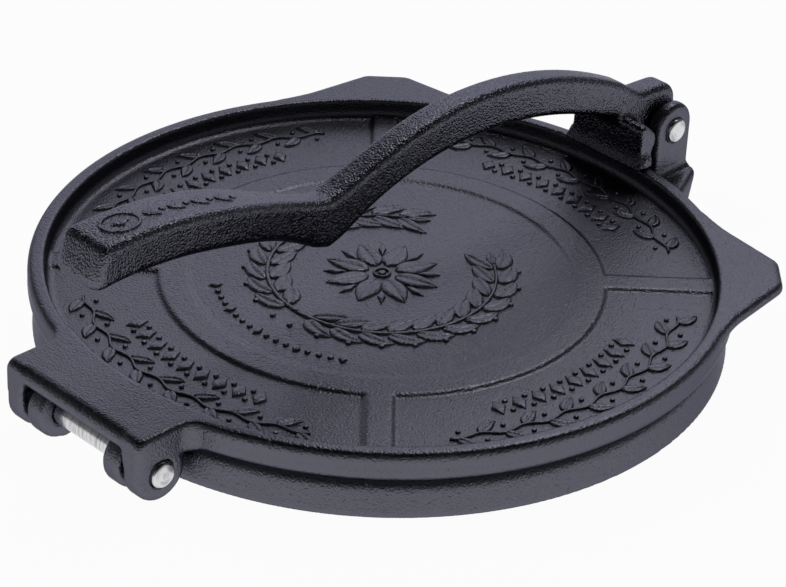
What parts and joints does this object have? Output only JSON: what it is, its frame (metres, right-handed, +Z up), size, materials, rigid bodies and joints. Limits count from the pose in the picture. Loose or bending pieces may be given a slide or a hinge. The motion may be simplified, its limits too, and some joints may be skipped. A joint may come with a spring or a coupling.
{
  "type": "tortilla press",
  "caption": "Round cast-iron tortilla press with a hinged eared lid, an S-curved pressing lever on a clevis, and bright steel pins.",
  "frame": {"origin": "on the surface it stands on, under the middle of the whole press's box", "axes": "+X from the lid hinge to the lever pivot, +Y across the press, +Z up"},
  "size_m": [0.3042, 0.2588, 0.0892],
  "materials": {
    "iron": "seasoned black, satin",
    "steel": "bright turned"
  },
  "bodies": {
    "base": {"base": "iron", "pivot_pin": "steel"},
    "lid": {"lid": "iron", "hinge_pin": "steel"},
    "lever": {"lever": "iron"}
  },
  "joints": [
    {"name": "lever_pivot", "type": "hinge", "parent": "base", "child": "lever", "pos_m": [0.14212, 0, 0.0345], "axis": [0, 1, 0], "range_deg": [0, 170]},
    {"name": "lid_hinge", "type": "hinge", "parent": "base", "child": "lid", "pos_m": [-0.14152, 0, 0.0116], "axis": [0, -1, 0], "range_deg": [0, 90]}
  ],
  "couplings": [
    {"joint": "lid_hinge", "follows": "lever_pivot", "ratio": 0.085}
  ]
}
